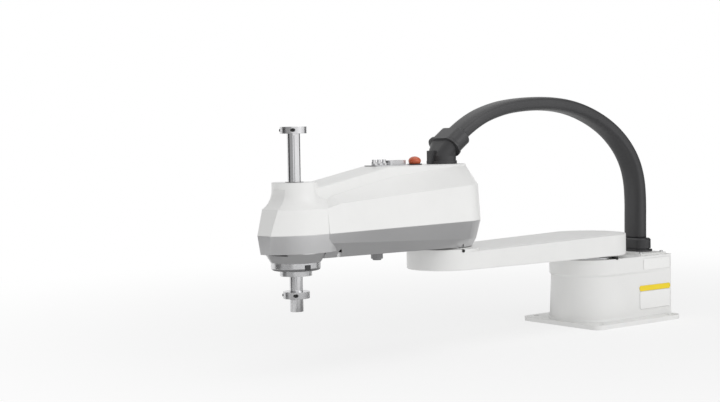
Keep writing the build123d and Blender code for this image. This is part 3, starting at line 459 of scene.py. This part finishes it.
def add_world():
    """A white backdrop for what is seen, mirrored or seen through, and a softer room for the light."""
    world = bpy.data.worlds.new("studio")
    bpy.context.scene.world = world
    world.use_nodes = True
    tree = world.node_tree
    room = tree.nodes["Background"]
    backdrop = tree.nodes.new("ShaderNodeBackground")
    backdrop.inputs["Color"].default_value = (1, 1, 1, 1)
    coordinates = tree.nodes.new("ShaderNodeTexCoord")
    facing = tree.nodes.new("ShaderNodeVectorMath")
    facing.operation = "DOT_PRODUCT"
    facing.inputs[1].default_value = Vector(BRIGHT_SIDE).normalized()
    level = tree.nodes.new("ShaderNodeMapRange")
    level.interpolation_type = "SMOOTHSTEP"
    level.inputs["From Min"].default_value, level.inputs["From Max"].default_value = ROOM_FACING
    level.inputs["To Min"].default_value, level.inputs["To Max"].default_value = ROOM_LIGHT
    path = tree.nodes.new("ShaderNodeLightPath")
    seen = tree.nodes.new("ShaderNodeMath")
    seen.operation = "MAXIMUM"
    through = tree.nodes.new("ShaderNodeMath")
    through.operation = "MAXIMUM"
    tree.links.new(path.outputs["Is Camera Ray"], seen.inputs[0])
    tree.links.new(path.outputs["Is Glossy Ray"], seen.inputs[1])
    tree.links.new(seen.outputs["Value"], through.inputs[0])
    tree.links.new(path.outputs["Is Transmission Ray"], through.inputs[1])
    mix = tree.nodes.new("ShaderNodeMixShader")
    tree.links.new(coordinates.outputs["Generated"], facing.inputs[0])
    tree.links.new(facing.outputs["Value"], level.inputs["Value"])
    tree.links.new(level.outputs["Result"], room.inputs["Strength"])
    room.inputs["Color"].default_value = (1, 1, 1, 1)
    tree.links.new(through.outputs["Value"], mix.inputs["Fac"])
    tree.links.new(room.outputs["Background"], mix.inputs[1])
    tree.links.new(backdrop.outputs["Background"], mix.inputs[2])
    tree.links.new(mix.outputs["Shader"], tree.nodes["World Output"].inputs["Surface"])


def add_lamp(name, place, target, size, power):
    """A rectangular area lamp at a place, turned to its target."""
    data = bpy.data.lights.new(name, "AREA")
    data.shape = "RECTANGLE"
    data.size, data.size_y = size
    data.energy = power
    lamp = bpy.data.objects.new(name, data)
    lamp.location = place
    lamp.rotation_mode = "QUATERNION"
    lamp.rotation_quaternion = (Vector(target) - Vector(place)).to_track_quat("-Z", "Y")
    bpy.context.scene.collection.objects.link(lamp)


def add_reflection_card(name, middle, side, up, grey):
    """A dark glowing card that only reflections see, a painted reflection that darkens glossy and metal
    faces: a grid on the plane of its side and its upward edge.
    """
    share = np.linspace(-0.5, 0.5, 3)
    points = np.array(middle) + share[:, None, None] * np.array(side) + share[None, :, None] * np.array(up)
    material, tree, shader = new_material(name)
    shader.inputs["Base Color"].default_value = (0, 0, 0, 1)
    shader.inputs["Specular IOR Level"].default_value = 0
    shader.inputs["Emission Color"].default_value = (grey, grey, grey, 1)
    shader.inputs["Emission Strength"].default_value = 1
    card = surface(name, points, material)
    card.visible_camera = False
    card.visible_diffuse = False
    card.visible_shadow = False


def standing_reflection_card(name, azimuth, distance, width, grey):
    """A reflection-only card, a painted dark reflection, that stands round the tool axis at an azimuth in
    degrees.
    """
    turn = math.radians(azimuth)
    out = np.array((math.cos(turn), math.sin(turn), 0.0))
    middle = TOOL_AXIS + distance * out + np.array((0, 0, CARD_HEIGHT / 2))
    side = width * np.array((-math.sin(turn), math.cos(turn), 0.0))
    add_reflection_card(name, middle, side, (0, 0, CARD_HEIGHT), grey)


finish_frame()
cable_duct()
label_plates()
status_lamp()
# Glowing cards seen only in reflections: painted dark reflections on the metal and gloss from the sides
standing_reflection_card("left_reflection_card", azimuth=-35, distance=0.9, width=0.62, grey=0.05)
standing_reflection_card("front_left_reflection_card", azimuth=12, distance=0.9, width=0.98, grey=0.40)
standing_reflection_card("right_reflection_card", azimuth=180, distance=1.2, width=0.70, grey=0.08)
# A glowing card just above the floor, seen only in reflections: a painted reflection of a shaded floor in the
# downward faces of the metal and gloss
add_reflection_card("floor_shade_reflection_card", middle=(0.45, 0.25, 0.0005), side=(1.5, 0, 0), up=(0, 1.3, 0), grey=0.20)
add_camera()
add_floor()
add_world()
add_lamp("key", place=(-0.4, 2.6, 1.3), target=(0.3, 0, 0.2), size=(1.8, 1.4), power=12.0)
add_lamp("top", place=(0.2, 0.3, 2.4), target=(0.2, 0, 0), size=(1.6, 1.2), power=4.5)
bpy.context.scene.view_settings.view_transform = "Standard"
